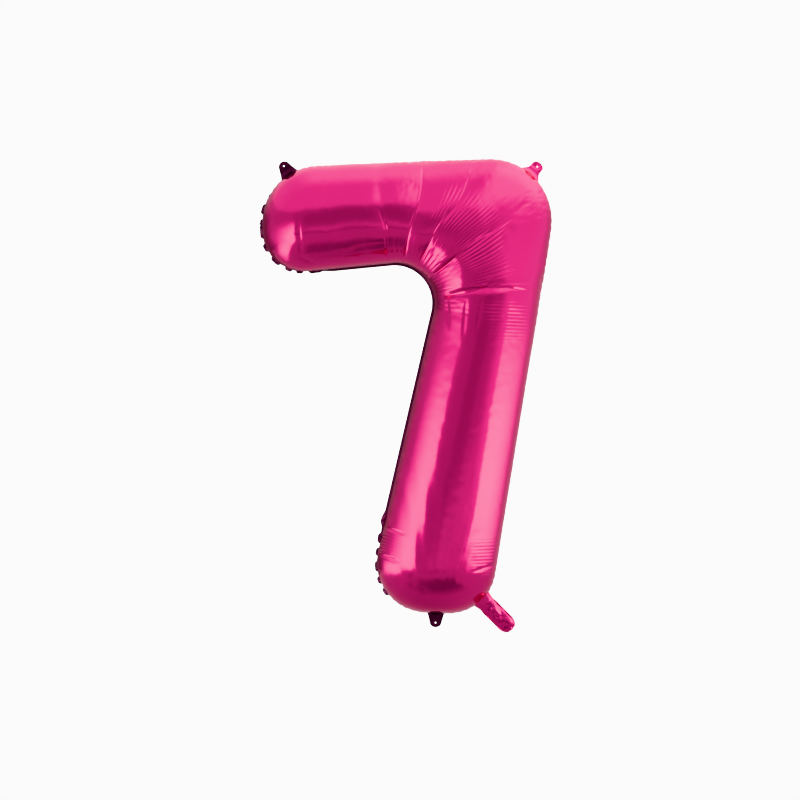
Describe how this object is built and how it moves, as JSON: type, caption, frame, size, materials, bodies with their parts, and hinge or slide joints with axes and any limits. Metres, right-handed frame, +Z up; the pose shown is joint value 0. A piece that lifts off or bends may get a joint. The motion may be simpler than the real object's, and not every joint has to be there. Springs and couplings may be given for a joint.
{
  "type": "foil number balloon",
  "caption": "Filled foil balloon in the shape of a seven, with edge weld, hanging tabs and a filling neck that folds.",
  "frame": {"origin": "middle of the top right hanging hole, halfway through the tab", "axes": "+Z up along the height of the figure, +X to its right as seen from the front, and the front panel faces -Y"},
  "size_m": [0.5499, 0.2088, 0.8818],
  "materials": {
    "foil": "mirror-bright metallised film with a magenta lacquer",
    "weld": "metallised film pressed flat by the weld, a little duller",
    "valve_film": "clear polyethylene film"
  },
  "bodies": {
    "balloon": {"front_panel": "foil", "back_panel": "foil", "edge_weld": "weld", "valve_front_film_inner": "valve_film", "valve_back_film_inner": "valve_film", "valve_side_welds_inner": "valve_film"},
    "tab_top_left": {"tab_top_left": "foil"},
    "tab_top_right": {"tab_top_right": "foil"},
    "tab_bottom": {"tab_bottom": "foil"},
    "neck": {"neck_front_film": "foil", "neck_back_film": "foil", "neck_side_welds": "weld", "valve_front_film_outer": "valve_film", "valve_back_film_outer": "valve_film", "valve_side_welds_outer": "valve_film"}
  },
  "joints": [
    {"name": "tab_top_left_fold", "type": "hinge", "parent": "balloon", "child": "tab_top_left", "pos_m": [-0.46204, 0, -0.00583], "axis": [-0.848, 0, -0.5299], "range_deg": [-85, 85], "stiffness_Nm_per_rad": 0.00005},
    {"name": "tab_top_right_fold", "type": "hinge", "parent": "balloon", "child": "tab_top_right", "pos_m": [-0.00558, 0, -0.00641], "axis": [-0.7547, 0, 0.6561], "range_deg": [-85, 85], "stiffness_Nm_per_rad": 0.00005},
    {"name": "tab_bottom_fold", "type": "hinge", "parent": "balloon", "child": "tab_bottom", "pos_m": [-0.1869, 0, -0.83091], "axis": [0.9994, 0, -0.0348], "range_deg": [-85, 85], "stiffness_Nm_per_rad": 0.00005},
    {"name": "neck_fold", "type": "hinge", "parent": "balloon", "child": "neck", "pos_m": [-0.09427, 0, -0.80395], "axis": [0.7071, 0, 0.7071], "range_deg": [-75, 75], "stiffness_Nm_per_rad": 0.002}
  ]
}
